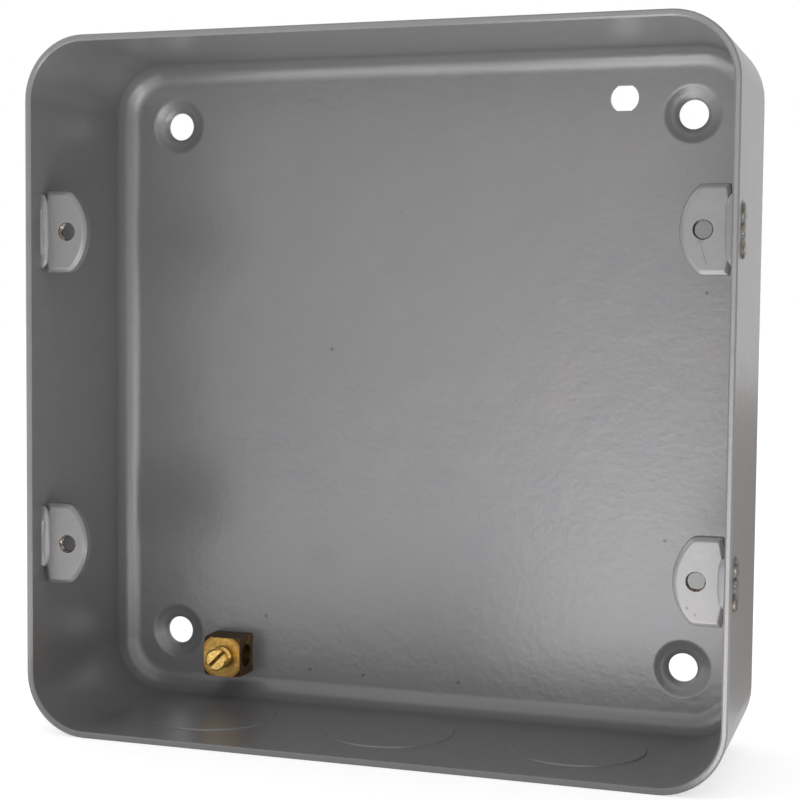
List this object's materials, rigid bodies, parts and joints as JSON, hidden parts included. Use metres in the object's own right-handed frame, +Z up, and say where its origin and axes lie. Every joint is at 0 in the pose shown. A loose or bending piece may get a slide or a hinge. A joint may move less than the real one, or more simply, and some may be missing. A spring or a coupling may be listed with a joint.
{
  "type": "multi-gang back box",
  "caption": "Square drawn-steel wall box, open at the front, with tapped accessory lugs, dished fixing holes, conduit knock-outs and a brass earth terminal.",
  "frame": {"origin": "middle of the wall fixing holes, on the plane where the dished holes bear on the wall", "axes": "+X to the right as the open front is seen, +Y into the wall, +Z up"},
  "size_m": [0.1346, 0.0428, 0.1336],
  "materials": {
    "painted_steel": "satin silver-grey paint over drawn steel sheet",
    "brass": "turned brass, a little tarnished"
  },
  "bodies": {
    "box": {"box_shell": "painted_steel", "lug_upper_left": "painted_steel", "lug_lower_left": "painted_steel", "lug_upper_right": "painted_steel", "lug_lower_right": "painted_steel", "earth_terminal_block": "brass"},
    "terminal_screw": {"earth_terminal_screw": "brass"}
  },
  "joints": [
    {"name": "terminal_screw_feed", "type": "slide", "parent": "box", "child": "terminal_screw", "axis": [0, 1, 0], "range_m": [0, 0.0032]}
  ]
}
